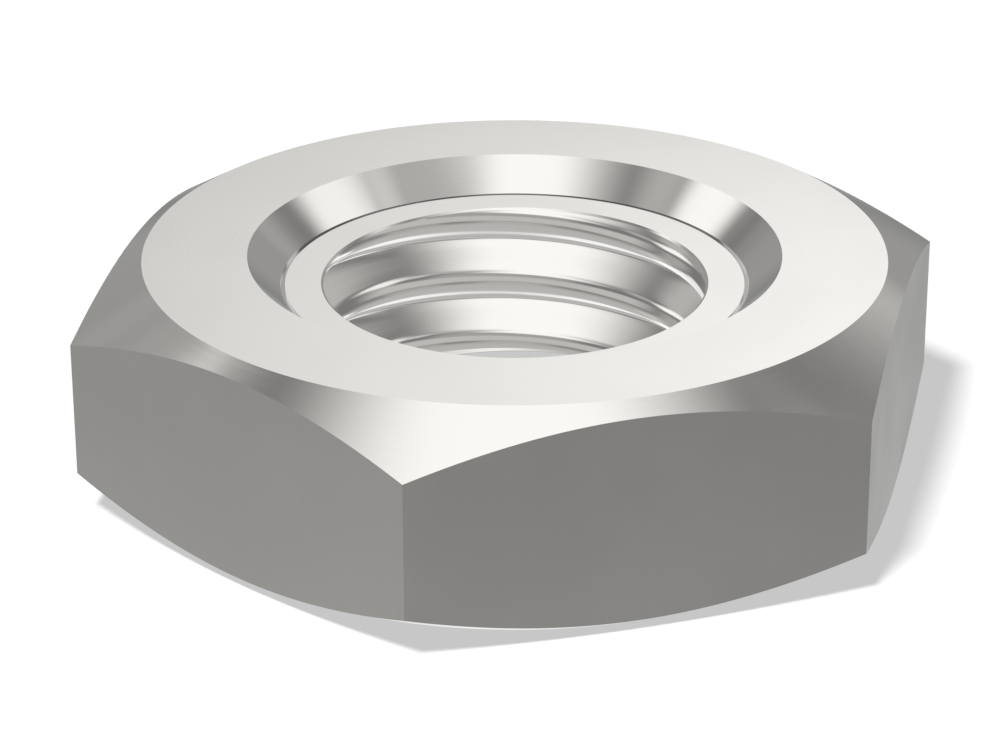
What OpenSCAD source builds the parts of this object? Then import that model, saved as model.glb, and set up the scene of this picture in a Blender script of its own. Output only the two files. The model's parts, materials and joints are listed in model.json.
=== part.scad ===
// Thin hexagon nut with a coarse metric thread, made in one solid piece.
// The origin is the centre of the lower bearing face. +Z is the thread axis, and two
// opposite corners of the hexagon lie on the X axis. All sizes are in millimetres.

/* [Body] */
// Width across the flats of the hexagon
across_flats = 17; // [15.5:0.1:19]
// Height from the lower bearing face to the upper one
nut_height = 5; // [4:0.1:10]
// Diameter of the bearing face inside each outer chamfer
bearing_d = 16.15; // [14:0.05:16.9]
// Slope of the outer chamfer, in degrees from the bearing face
chamfer_slope = 30; // [15:1:40]

/* [Thread] */
// Nominal diameter of the thread
thread_d = 10; // [8:0.1:11]
// Pitch of the thread
thread_pitch = 1.5; // [1:0.05:1.75]
// How far the root of the thread lies outside the nominal radius
root_clearance = 0.1; // [0:0.01:0.1]
// Radius of the crest's rounded edges, as a share of the pitch
crest_rounding = 0.18; // [0.05:0.01:0.2]
// Height of the thread's crest above the lower bearing face, at the +X corner
crest_start = 0.61; // [0:0.01:1.5]

/* [Thread ends] */
// Depth of the flat ledge where the thread ends, below each bearing face
ledge_depth = 0.7; // [0.3:0.05:1.2]
// Included angle of the countersink that leads down to the ledge
countersink_angle = 90; // [60:5:120]
// Width of the narrow relief groove around the ledge
relief_w = 0.1; // [0.05:0.01:0.3]
// Depth of that relief groove, below the ledge
relief_depth = 0.12; // [0.05:0.01:0.3]
// Thickness of the ledge's inner lip, above the thread
lip_t = 0.04; // [0.03:0.01:0.2]
// How far that lip reaches inside the crest of the thread
lip_reach = 0.02; // [0.01:0.005:0.05]
// Slope of the underside of that lip, which thickens outwards, in degrees
lip_slope = 20; // [10:1:30]

/* [Hidden] */

// Half of the 60 degree angle between the thread's flanks
flank_angle = 30;
// Width of the thread's crest, before its edges are rounded
crest_w = thread_pitch / 4;
// Depth of an internal thread: five eighths of the sharp triangle's height
thread_depth = 5 / 8 * thread_pitch / (2 * tan(flank_angle));
minor_r = thread_d / 2 - thread_depth;
root_r = thread_d / 2 + root_clearance;
root_w = thread_pitch - crest_w - 2 * (root_r - minor_r) * tan(flank_angle);
lip_r = minor_r - lip_reach;
ledge_r = thread_d / 2;
countersink_foot_r = ledge_r + relief_w;
mouth_r = countersink_foot_r + ledge_depth * tan(countersink_angle / 2);

// The hexagon's corner lies this far from the axis
corner_r = across_flats / sqrt(3);
bearing_r = bearing_d / 2;

// Cuts that leave through a face run past it by this much
past = 0.5;
// Straight steps in one turn of the thread
steps_per_turn = 60;
// Straight steps in each rounded edge of the crest
crest_steps = 2;

$fn = 120;

// The thread's section from the middle of a crest up to the next root, as [radius, height].
// Each crest edge is an arc that meets the crest and the flank without a break.
crest_arc_r = crest_rounding * thread_pitch;
crest_arc_z = crest_w / 2 - crest_arc_r * tan((90 - flank_angle) / 2);
half_section = [
    for (i = [0 : crest_steps])
        let (t = (90 - flank_angle) * i / crest_steps)
            [minor_r + crest_arc_r * (1 - cos(t)), crest_arc_z + crest_arc_r * sin(t)],
    [root_r, (thread_pitch - root_w) / 2]
];

// The section over one whole pitch: up to the root, and back to the next crest
half_n = len(half_section);
section = [
    each half_section,
    for (i = [1 : half_n])
        [half_section[half_n - i][0], thread_pitch - half_section[half_n - i][1]]
];
section_n = len(section);

// A point at radius r, height z and angle a
function polar(r, z, a) = [r * cos(a), r * sin(a), z];

// Height of the middle of the crest at angle a
function crest_z(a) = crest_start + thread_pitch * a / 360;

// The quad between points a, b, c and d as two triangles, clockwise seen from outside
function two_triangles(a, b, c, d) = [[a, b, c], [a, c, d]];

// A right-handed screw, longer than the thread at both ends. It is the space inside the thread.
module screw() {
    first_turn = floor((ledge_depth - crest_start) / thread_pitch) - 2;
    last_turn = ceil((nut_height - ledge_depth - crest_start) / thread_pitch);
    steps = (last_turn - first_turn) * steps_per_turn;

    // Point k of the section at step i, where the section's end is its start one turn on
    function angle(i) = 360 * (first_turn + i / steps_per_turn);
    function at(i, k) = polar(section[k][0], crest_z(angle(i)) + section[k][1], angle(i));
    function id(i, k) =
        k == section_n ? id(i + steps_per_turn, 0)
        : i <= steps ? i * section_n + k
        : steps * section_n + section_n - 1 + i - steps;
    points = [
        for (i = [0 : steps])
            for (k = [0 : section_n - 1])
                at(i, k),
        for (i = [steps + 1 : steps + steps_per_turn])
            at(i, 0),
        [0, 0, crest_z(angle(0))],
        [0, 0, crest_z(angle(steps + steps_per_turn))]
    ];
    low_centre = len(points) - 2;
    high_centre = len(points) - 1;

    sides = [
        for (i = [0 : steps - 1])
            for (k = [0 : section_n - 1])
                each two_triangles(id(i, k), id(i, k + 1), id(i + 1, k + 1), id(i + 1, k))
    ];
    low_end = [
        for (i = [0 : steps_per_turn - 1])
            [low_centre, id(i, 0), id(i + 1, 0)],
        for (k = [0 : section_n - 1])
            [low_centre, id(0, k + 1), id(0, k)]
    ];
    high_end = [
        for (i = [steps : steps + steps_per_turn - 1])
            [high_centre, id(i + 1, 0), id(i, 0)],
        for (k = [0 : section_n - 1])
            [high_centre, id(steps, k), id(steps, k + 1)]
    ];
    polyhedron(points = points, faces = concat(sides, low_end, high_end));
}

// The thread lies between the lips of the two ledges, whose undersides slope
module thread_zone() {
    zone_r = root_r + past;
    lip_grows = (zone_r - lip_r) * tan(lip_slope);
    low = ledge_depth + lip_t;
    high = nut_height - ledge_depth - lip_t;
    rotate_extrude()
        polygon([
            [0, low],
            [lip_r, low],
            [zone_r, low + lip_grows],
            [zone_r, high - lip_grows],
            [lip_r, high],
            [0, high]
        ]);
}

// The hexagon with both outer chamfers
module blank() {
    chamfer_h = (corner_r + past - bearing_r) * tan(chamfer_slope);
    intersection() {
        cylinder(r = corner_r, h = nut_height, $fn = 6);
        rotate_extrude()
            polygon([
                [0, 0],
                [bearing_r, 0],
                [corner_r + past, chamfer_h],
                [corner_r + past, nut_height - chamfer_h],
                [bearing_r, nut_height],
                [0, nut_height]
            ]);
    }
}

// The countersink, flat ledge and relief groove at the lower face
module thread_end() {
    mouth_past_r = mouth_r + past * tan(countersink_angle / 2);
    rotate_extrude()
        polygon([
            [0, -past],
            [mouth_past_r, -past],
            [countersink_foot_r, ledge_depth],
            [countersink_foot_r, ledge_depth + relief_depth],
            [ledge_r, ledge_depth + relief_depth],
            [ledge_r, ledge_depth],
            [0, ledge_depth]
        ]);
}

module nut() {
    color([0.80, 0.79, 0.77])
        difference() {
            blank();
            cylinder(r = lip_r, h = nut_height);
            thread_end();
            translate([0, 0, nut_height])
                mirror([0, 0, 1])
                    thread_end();
            intersection() {
                screw();
                thread_zone();
            }
        }
}

nut();
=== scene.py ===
import json
import math

import bmesh
import bpy
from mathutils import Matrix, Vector


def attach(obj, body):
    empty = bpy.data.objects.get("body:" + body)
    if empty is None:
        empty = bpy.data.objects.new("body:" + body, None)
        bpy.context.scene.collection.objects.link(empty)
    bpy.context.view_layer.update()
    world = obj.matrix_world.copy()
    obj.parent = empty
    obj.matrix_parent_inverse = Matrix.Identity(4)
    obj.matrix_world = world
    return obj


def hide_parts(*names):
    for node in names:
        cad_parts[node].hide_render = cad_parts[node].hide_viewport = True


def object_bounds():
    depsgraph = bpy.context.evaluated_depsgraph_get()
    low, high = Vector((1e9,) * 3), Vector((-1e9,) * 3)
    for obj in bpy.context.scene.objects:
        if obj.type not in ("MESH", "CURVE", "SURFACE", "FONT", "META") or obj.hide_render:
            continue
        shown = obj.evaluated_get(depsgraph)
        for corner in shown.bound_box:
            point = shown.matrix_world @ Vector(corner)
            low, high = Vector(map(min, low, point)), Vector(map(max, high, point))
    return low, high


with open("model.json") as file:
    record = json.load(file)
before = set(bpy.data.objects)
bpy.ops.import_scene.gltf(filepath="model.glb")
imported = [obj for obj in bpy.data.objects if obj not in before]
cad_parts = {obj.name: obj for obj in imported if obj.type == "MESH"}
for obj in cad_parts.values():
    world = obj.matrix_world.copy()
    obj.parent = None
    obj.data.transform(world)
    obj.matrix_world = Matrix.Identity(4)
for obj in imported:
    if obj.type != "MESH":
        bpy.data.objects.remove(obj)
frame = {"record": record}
cad_low, cad_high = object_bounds()

MM = 0.001

# Sizes that come from the frame
ACROSS_FLATS = (cad_high.y - cad_low.y) / MM
HEIGHT = (cad_high.z - cad_low.z) / MM
LIP_R = next(m["dims"]["r_mm"] for m in frame["record"]["mounts"] if m["name"] == "thread")

# Outside
BEARING_R = 8.075
CHAMFER_SLOPE = math.radians(30)

# Thread ends
MOUTH_R = 5.8
RELIEF_R = 5.1
RELIEF_DEPTH = 0.12
LEDGE_R = 5.0
LEDGE_DEPTH = 0.7
LIP_T = 0.04
LIP_BEVEL = 0.05
LIP_SLOPE = math.radians(20)

# Thread: CREST_START is the height of the crest's middle at the +X corner, above the lower face
PITCH = 1.5
CREST_R = 4.188
ROOT_R = 5.1
CREST_START = 0.65
HALF_CREST = PITCH / 8
FLANK = math.radians(30)
CREST_ROUND = 0.32
ROOT_ROUND = 0.07

# Mesh: columns around the axis, steps along the thread's section, the distance in metres at which
# points are welded, and the angle from which an edge stays sharp
COLUMNS = 360
CREST_STEPS = 6
FLANK_STEPS = 3
ROOT_STEPS = 3
WELD = 1e-8
SHARP = math.radians(25)

# Steel: its mirror colour, its tool marks, and a faint cloudiness of its tone and roughness.
# The turned rings are RING_PITCH apart, by the radius plus this share of the height: WALL_RINGS.
# Outside the bearing face, where the normal's Z is under UPRIGHT either way, a flat was drawn.
STEEL = (0.80, 0.786, 0.754)
RING_PITCH = 0.08
WALL_RINGS = 0.7
DRAWN_PITCH = 0.12
MARK_DEPTH = 0.0003
MARK_TONE = 0.02
UPRIGHT = 0.5
CLOUD_SIZE = 2.5
CLOUD_TONE = 0.03
CLOUD_LOW, CLOUD_HIGH = 0.35, 0.65
ROUGHNESS = 0.10
ROUGHNESS_SPREAD = 0.04

# The relief groove's tone is painted darker, a painted shade, because little light gets into it.
# The painted shade reaches this far past the groove's walls and floor, and begins as far below the
# ledge.
GROOVE_PAINTED_SHADE = 0.45
GROOVE_EDGE = 0.002

# Camera, as solved from the photograph
CAMERA_AZIMUTH = -107.17
CAMERA_ELEVATION = 24.174
CAMERA_DISTANCE = 78.6
CAMERA_TARGET_Z = 2.28
CAMERA_LENS = 128.43
CAMERA_SHIFT = (-0.0147, -0.0115)
CAMERA_CLIP = (0.001, 10)

# The studio's soft panels, as the metal mirrors them. Azimuths are counted from the camera's
# right, anticlockwise seen from above, so that 90 lies behind the nut and -90 at the camera.
# Each has its centre, half its width and height, the width of its soft sides and of its soft top
# and bottom, all in degrees, and its brightness.
PANELS = {
    "overhead": (0, 90, 180, 23, 0, 13, 0.97),
    "overhead_front": (-102, 70, 46, 22, 28, 3, 0.97),
    "upper_right": (-22, 60, 28, 8, 14, 6, 0.27),
    "left": (154, 37, 16, 8, 7, 4, 0.97),
    "left_high": (134, 47, 8, 7, 5, 5, 0.33),
    "left_upper": (130, 36, 9, 10, 4, 4, 0.17),
    "left_side": (120, 30, 10, 14, 5, 6, 0.17),
    "left_far": (176, 50, 12, 8, 10, 8, 0.28),
    "right": (16, 39, 16, 12, 6, 8, 0.88),
    "right_far": (-4, 51, 10, 7, 8, 6, 0.5),
    "back": (84, 45, 15, 27, 22, 6, 1.0),
    "back_right": (66, 38, 18, 23, 10, 8, 0.33),
    "front": (-82, 5, 92, 20, 15, 5, 0.38),
    "front_high": (-78, 30, 48, 18, 12, 5, 0.2),
    "wall": (86, 14, 42, 20, 7, 10, 0.13),
    "low_back": (90, -30, 13, 8, 6, 3, 0.65),
    "low_back_left": (123, -30, 20, 16, 5, 3, 0.72),
    "low_back_right": (57, -30, 9, 10, 4, 3, 0.8),
    "low_right": (80, -26, 25, 13, 10, 6, 0.12),
    "low_left": (178, -28, 25, 10, 15, 6, 0.08),
    "low_front": (-90, -24, 22, 12, 12, 8, 0.22),
    "low_front_right": (-22, -20, 21, 16, 5, 8, 0.16),
    "left_low": (163, -14, 12, 31, 8, 6, 0.22),
}
ROOM = 0.23
GROUND_RISE = 0.33
GROUND_EDGE = (-20, -50)

# The key light, which lights the floor alone
KEY_AZIMUTH = -119
KEY_ELEVATION = 57.5
KEY_SIZE = math.radians(9)
KEY_STRENGTH = 3.5

# Floor, in metres. Its own glow is FLOOR_SHADOW out to SHADE_R, which is the grey of the nut's
# shadow, and rises to white at FLOOR_R. FLOOR_LIT is how much of the key light it gives back.
SHADE_R = 0.05
FLOOR_R = 0.5
COVE_R = 0.3
COVE_STEPS = 12
WALL_H = 0.9
FLOOR_SIDES = 96
FLOOR_SHADOW = 0.571
FLOOR_LIT = 0.5

# The floor lies this far below the nut, in metres, so that the two never share a plane
FLOOR_GAP = 0.000005


def direction(azimuth, elevation):
    """Unit vector to a point of the sky. The azimuth, in degrees, is counted from the camera's right."""
    a = math.radians(azimuth + CAMERA_AZIMUTH + 90)
    e = math.radians(elevation)
    return Vector((math.cos(a) * math.cos(e), math.sin(a) * math.cos(e), math.sin(e)))


def thread_section():
    """One pitch of the thread's wall as (radius, height), from the middle of a crest to the next."""
    turn = math.pi / 2 - FLANK
    crest_arc_z = HALF_CREST - CREST_ROUND * math.tan(turn / 2)
    crest = [
        (CREST_R + CREST_ROUND * (1 - math.cos(t)), crest_arc_z + CREST_ROUND * math.sin(t))
        for t in (turn * i / CREST_STEPS for i in range(CREST_STEPS + 1))
    ]
    flank_end_z = HALF_CREST + (ROOT_R - CREST_R) * math.tan(FLANK)
    root_arc_z = flank_end_z + ROOT_ROUND * math.tan(turn / 2)
    root = [
        (ROOT_R - ROOT_ROUND * (1 - math.cos(t)), root_arc_z - ROOT_ROUND * math.sin(t))
        for t in (turn * (1 - i / ROOT_STEPS) for i in range(ROOT_STEPS + 1))
    ]
    (r0, z0), (r1, z1) = crest[-1], root[0]
    flank = [
        (r0 + (r1 - r0) * i / FLANK_STEPS, z0 + (z1 - z0) * i / FLANK_STEPS)
        for i in range(1, FLANK_STEPS)
    ]
    half = crest + flank + root
    return half + [(r, PITCH - z) for r, z in reversed(half)]


def under_lip(points, lip_height):
    """The thread's wall as (radius, height above the nut's middle), ended under a ledge's lip.

    Points past the lip move onto its underside, so the number of points stays the same.
    """

    def ceiling(r):
        return lip_height - (r - LIP_R) * math.tan(LIP_SLOPE)

    ended, reach, last = [], None, None
    for r, h in points:
        room = ceiling(r) - h
        if reach is None and room > 0:
            ended.append((r, h))
            last = (r, room)
            continue
        if reach is None:
            last_r, last_room = last
            reach = last_r + (r - last_r) * last_room / (last_room - room)
        else:
            reach = min(reach, r)
        ended.append((reach, ceiling(reach)))
    return ended + [(LIP_R, lip_height)]


def thread_wall(turn, section):
    """The thread's wall from the lower lip to the upper one, at this share of a full turn."""
    middle = HEIGHT / 2
    lip_height = middle - LEDGE_DEPTH - LIP_T
    first = math.floor((middle - lip_height - CREST_START) / PITCH) - 1
    last = math.ceil((middle + lip_height - CREST_START) / PITCH)
    rows = [
        (r, CREST_START + PITCH * (turn + k) + z - middle)
        for k in range(first, last)
        for r, z in section
    ]
    low = under_lip([(r, -h) for r, h in reversed(rows) if h < 0], lip_height)
    high = under_lip([(r, h) for r, h in rows if h >= 0], lip_height)
    return [(r, middle - h) for r, h in reversed(low)] + [(r, middle + h) for r, h in high]


def hexagon_r(azimuth):
    """Radius of the hexagon at an azimuth in degrees, with corners at 0, 60, 120 and so on."""
    return ACROSS_FLATS / 2 / math.cos(math.radians(azimuth % 60 - 30))


def column(azimuth, section):
    """The nut's whole section at an azimuth, as a closed ring of points (radius, height)."""
    corner_r = hexagon_r(azimuth)
    chamfer = (corner_r - BEARING_R) * math.tan(CHAMFER_SLOPE)
    end = [
        (LIP_R + LIP_BEVEL, LEDGE_DEPTH),
        (LEDGE_R, LEDGE_DEPTH),
        (LEDGE_R, LEDGE_DEPTH + RELIEF_DEPTH),
        (RELIEF_R, LEDGE_DEPTH + RELIEF_DEPTH),
        (RELIEF_R, LEDGE_DEPTH),
        (MOUTH_R, 0),
        (BEARING_R, 0),
        (corner_r, chamfer),
    ]
    upper = [(r, HEIGHT - z) for r, z in end]
    return thread_wall(azimuth / 360, section) + upper + end[::-1]


def build_nut():
    """The whole nut as one closed mesh: a ring of sections, welded where the thread's turns meet."""
    section = thread_section()
    mesh = bpy.data.meshes.new("hex_nut")
    bm = bmesh.new()
    rings = []
    for i in range(COLUMNS + 1):
        azimuth = 360 * i / COLUMNS
        a = math.radians(azimuth)
        rings.append([
            bm.verts.new((r * MM * math.cos(a), r * MM * math.sin(a), z * MM))
            for r, z in column(azimuth, section)
        ])
    for ring, ahead in zip(rings, rings[1:]):
        for k in range(len(ring)):
            j = (k + 1) % len(ring)
            bm.faces.new((ring[k], ring[j], ahead[j], ahead[k]))
    bmesh.ops.remove_doubles(bm, verts=bm.verts, dist=WELD)
    bmesh.ops.dissolve_degenerate(bm, edges=bm.edges, dist=WELD)
    for face in bm.faces:
        face.smooth = True
    bm.to_mesh(mesh)
    bm.free()
    mesh.set_sharp_from_angle(angle=SHARP)
    nut = bpy.data.objects.new("hex_nut", mesh)
    bpy.context.scene.collection.objects.link(nut)
    return nut


class Tree:
    """A short way to add shader nodes and join them."""

    def __init__(self, nodes):
        self.tree = nodes

    def add(self, kind, inputs=(), **settings):
        node = self.tree.nodes.new(kind)
        for name, value in settings.items():
            setattr(node, name, value)
        for name, value in dict(inputs).items():
            socket = node.inputs[name]
            if isinstance(value, bpy.types.NodeSocket):
                self.tree.links.new(value, socket)
            else:
                socket.default_value = value
        return node

    def math(self, operation, a, b=0.0):
        return self.add("ShaderNodeMath", {0: a, 1: b}, operation=operation).outputs[0]

    def dot(self, a, b):
        return self.add("ShaderNodeVectorMath", {0: a, 1: b}, operation="DOT_PRODUCT").outputs["Value"]

    def blend(self, share, a, b):
        """Mixes from a to b as share goes from 0 to 1."""
        return self.add("ShaderNodeMix", {0: share, 2: a, 3: b}).outputs[0]

    def within(self, value, low, high):
        """1 where the value lies between low and high, and 0 elsewhere."""
        inputs = {0: value, 1: (low + high) / 2, 2: (high - low) / 2}
        return self.add("ShaderNodeMath", inputs, operation="COMPARE").outputs[0]

    def lines(self, value, frequency):
        """Uneven lines across a value, this many for each unit of it."""
        inputs = {"W": self.math("MULTIPLY", value, frequency), "Scale": 1.0, "Detail": 2.0}
        return self.add("ShaderNodeTexNoise", inputs, noise_dimensions="1D").outputs[0]

    def ramp(self, value, start, end):
        """Smooth step from 0 at start to 1 at end."""
        inputs = {"Value": value, "From Min": start, "From Max": end}
        return self.add("ShaderNodeMapRange", inputs, interpolation_type="SMOOTHSTEP").outputs["Result"]


def cleared(block):
    """The node tree of a new material or world, emptied."""
    block.use_nodes = True
    block.node_tree.nodes.clear()
    return Tree(block.node_tree)


def painted_groove_shade(tree, r, z):
    """1 on the nut, and a painted shade inside both relief grooves, from the radius and the height."""
    half = HEIGHT / 2 * MM
    above = tree.math("ABSOLUTE", tree.math("SUBTRACT", z, half))
    depth = tree.math("SUBTRACT", half, above)
    bottom = LEDGE_DEPTH + RELIEF_DEPTH + GROOVE_EDGE
    in_ring = tree.within(r, (LEDGE_R - GROOVE_EDGE) * MM, (RELIEF_R + GROOVE_EDGE) * MM)
    in_depth = tree.within(depth, (LEDGE_DEPTH + GROOVE_EDGE) * MM, bottom * MM)
    groove = tree.math("MULTIPLY", in_ring, in_depth)
    return tree.blend(groove, 1.0, GROOVE_PAINTED_SHADE)


def steel():
    """Bright machined steel: fine rings where it was turned, fine lines where the bar was drawn."""
    material = bpy.data.materials.new("steel")
    tree = cleared(material)
    place = tree.add("ShaderNodeTexCoord")
    axes = tree.add("ShaderNodeSeparateXYZ", {0: place.outputs["Object"]}).outputs
    facing = tree.add("ShaderNodeSeparateXYZ", {0: place.outputs["Normal"]}).outputs["Z"]
    flat_place = tree.add("ShaderNodeCombineXYZ", {"X": axes["X"], "Y": axes["Y"]}).outputs[0]
    r = tree.add("ShaderNodeVectorMath", {0: flat_place}, operation="LENGTH").outputs["Value"]
    turn = tree.math("ARCTAN2", axes["Y"], axes["X"])

    depth = tree.math("MULTIPLY", axes["Z"], WALL_RINGS)
    rings = tree.lines(tree.math("ADD", r, depth), 1 / (RING_PITCH * MM))
    drawn = tree.lines(turn, ACROSS_FLATS / 2 / DRAWN_PITCH)
    outside = tree.math("GREATER_THAN", r, BEARING_R * MM)
    upright = tree.math("LESS_THAN", tree.math("ABSOLUTE", facing), UPRIGHT)
    on_flat = tree.math("MULTIPLY", outside, upright)
    marks = tree.blend(on_flat, rings, drawn)
    bump = tree.add("ShaderNodeBump", {"Distance": MARK_DEPTH * MM, "Height": marks}).outputs[0]

    cloud = tree.add("ShaderNodeTexNoise", {
        "Vector": place.outputs["Object"], "Scale": 1 / (CLOUD_SIZE * MM), "Detail": 3.0,
    }).outputs[0]
    marks_tone = tree.math("MULTIPLY", marks, MARK_TONE)
    cloud_tone = tree.math("MULTIPLY", cloud, CLOUD_TONE)
    tone = tree.math("ADD", marks_tone, cloud_tone)
    tone = tree.math("ADD", tone, 1 - (MARK_TONE + CLOUD_TONE) / 2)
    # Painted shade: the steel's tone is darkened inside the relief grooves.
    tone = tree.math("MULTIPLY", tone, painted_groove_shade(tree, r, axes["Z"]))
    tint = tree.add("ShaderNodeVectorMath", {0: STEEL, "Scale": tone}, operation="SCALE").outputs[0]
    roughness = tree.ramp(cloud, CLOUD_LOW, CLOUD_HIGH)
    roughness = tree.math("ADD", tree.math("MULTIPLY", roughness, ROUGHNESS_SPREAD), ROUGHNESS)
    shader = tree.add("ShaderNodeBsdfPrincipled", {
        "Base Color": tint, "Metallic": 1.0, "Roughness": roughness, "Normal": bump,
    })
    tree.add("ShaderNodeOutputMaterial", {"Surface": shader.outputs[0]})
    return material


def panel_light(tree, ray, elevation, panel):
    """Brightness that one soft panel adds in the direction of a ray."""
    azimuth, centre, half_width, half_height, soft_side, soft_end, brightness = panel
    ahead = direction(azimuth, 0)
    left = direction(azimuth + 90, 0)
    across = tree.math("ARCTAN2", tree.dot(ray, left), tree.dot(ray, ahead))
    above = tree.math("SUBTRACT", elevation, math.radians(centre))
    light = brightness
    for offset, half, soft in ((across, half_width, soft_side), (above, half_height, soft_end)):
        if half < 180:
            distance = tree.math("ABSOLUTE", offset)
            shade = tree.ramp(distance, math.radians(half + soft), math.radians(half - soft))
            light = tree.math("MULTIPLY", shade, light)
    return light


def build_studio():
    """The world: a grey room with soft panels, which the metal mirrors."""
    world = bpy.data.worlds.new("studio")
    tree = cleared(world)
    ray = tree.add("ShaderNodeTexCoord").outputs["Generated"]
    height = tree.add("ShaderNodeSeparateXYZ", {0: ray}).outputs["Z"]
    elevation = tree.math("ARCSINE", height)
    light = 0.0
    for panel in PANELS.values():
        light = tree.math("MAXIMUM", panel_light(tree, ray, elevation, panel), light)
    start, end = (math.radians(edge) for edge in GROUND_EDGE)
    ground = tree.math("MULTIPLY", tree.ramp(elevation, start, end), GROUND_RISE)
    room = tree.math("ADD", ground, ROOM)
    strength = tree.math("ADD", light, room)
    background = tree.add("ShaderNodeBackground", {"Color": (1, 1, 1, 1), "Strength": strength})
    tree.add("ShaderNodeOutputWorld", {"Surface": background.outputs[0]})
    # The panels light the metal alone. The key lights the floor, and the floor's glow is its own.
    world.cycles_visibility.diffuse = False
    world.cycles.sampling_method = "NONE"
    bpy.context.scene.world = world


def build_key():
    """A lamp that casts the nut's soft shadow on the floor."""
    lamp = bpy.data.lights.new("key", "SUN")
    lamp.energy = KEY_STRENGTH
    lamp.angle = KEY_SIZE
    key = bpy.data.objects.new("key", lamp)
    key.rotation_mode = "QUATERNION"
    key.rotation_quaternion = direction(KEY_AZIMUTH, KEY_ELEVATION).to_track_quat("Z", "Y")
    key.visible_glossy = False
    bpy.context.scene.collection.objects.link(key)


def build_floor():
    """A white floor just below the nut's lower face, which curves up into a round wall."""
    profile = [(r, 0) for r in (0, SHADE_R, FLOOR_R)]
    profile += [
        (FLOOR_R + COVE_R * math.sin(t), COVE_R * (1 - math.cos(t)))
        for t in (math.pi / 2 * i / COVE_STEPS for i in range(1, COVE_STEPS + 1))
    ]
    profile.append((FLOOR_R + COVE_R, WALL_H))
    bm = bmesh.new()
    rings = []
    angles = [2 * math.pi * i / FLOOR_SIDES for i in range(FLOOR_SIDES)]
    for r, z in profile:
        rings.append([bm.verts.new((r * math.cos(a), r * math.sin(a), z)) for a in angles])
    for ring, outer in zip(rings, rings[1:]):
        for k in range(FLOOR_SIDES):
            j = (k + 1) % FLOOR_SIDES
            bm.faces.new((ring[k], outer[k], outer[j], ring[j]))
    bmesh.ops.remove_doubles(bm, verts=bm.verts, dist=WELD)
    for face in bm.faces:
        face.smooth = True
    mesh = bpy.data.meshes.new("floor")
    bm.to_mesh(mesh)
    bm.free()
    mesh.materials.append(floor_white())
    floor = bpy.data.objects.new("floor", mesh)
    floor.location.z = -FLOOR_GAP
    bpy.context.scene.collection.objects.link(floor)
    floor.visible_glossy = False
    floor.visible_diffuse = False


def floor_white():
    """White with a flat grey shadow. Its back is clear, so that the nut shows from underneath."""
    material = bpy.data.materials.new("floor_white")
    tree = cleared(material)
    place = tree.add("ShaderNodeTexCoord").outputs["Object"]
    distance = tree.add("ShaderNodeVectorMath", {0: place}, operation="LENGTH").outputs["Value"]
    far = tree.ramp(distance, SHADE_R, FLOOR_R)
    glow = tree.math("ADD", tree.math("MULTIPLY", far, 1 - FLOOR_SHADOW), FLOOR_SHADOW)
    own = tree.add("ShaderNodeEmission", {"Strength": glow})
    lit = tree.add("ShaderNodeBsdfDiffuse", {"Color": (FLOOR_LIT, FLOOR_LIT, FLOOR_LIT, 1)})
    front = tree.add("ShaderNodeAddShader", {0: own.outputs[0], 1: lit.outputs[0]})
    back = tree.add("ShaderNodeBsdfTransparent")
    behind = tree.add("ShaderNodeNewGeometry").outputs["Backfacing"]
    both = tree.add("ShaderNodeMixShader", {0: behind, 1: front.outputs[0], 2: back.outputs[0]})
    tree.add("ShaderNodeOutputMaterial", {"Surface": both.outputs[0]})
    return material


def build_camera():
    """The camera, at the photograph's viewing angle."""
    camera_data = bpy.data.cameras.new("camera")
    camera_data.lens = CAMERA_LENS
    camera_data.shift_x, camera_data.shift_y = CAMERA_SHIFT
    camera = bpy.data.objects.new("camera", camera_data)
    back = direction(-90, CAMERA_ELEVATION)
    target = Vector((0, 0, CAMERA_TARGET_Z * MM))
    camera.location = target + back * CAMERA_DISTANCE * MM
    camera.rotation_mode = "QUATERNION"
    camera.rotation_quaternion = back.to_track_quat("Z", "Y")
    camera_data.clip_start, camera_data.clip_end = CAMERA_CLIP
    bpy.context.scene.collection.objects.link(camera)
    bpy.context.scene.camera = camera


nut = build_nut()
nut.data.materials.append(steel())
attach(nut, "root")
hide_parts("nut")
# The metal mirrors the studio alone, as in the photograph, where neither the nut nor the floor
# shows in it. The floor takes no light from the nut either: it shows only the key's shadow.
nut.visible_glossy = False
nut.visible_diffuse = False
build_floor()
build_studio()
build_key()
build_camera()
bpy.context.scene.view_settings.view_transform = "Standard"
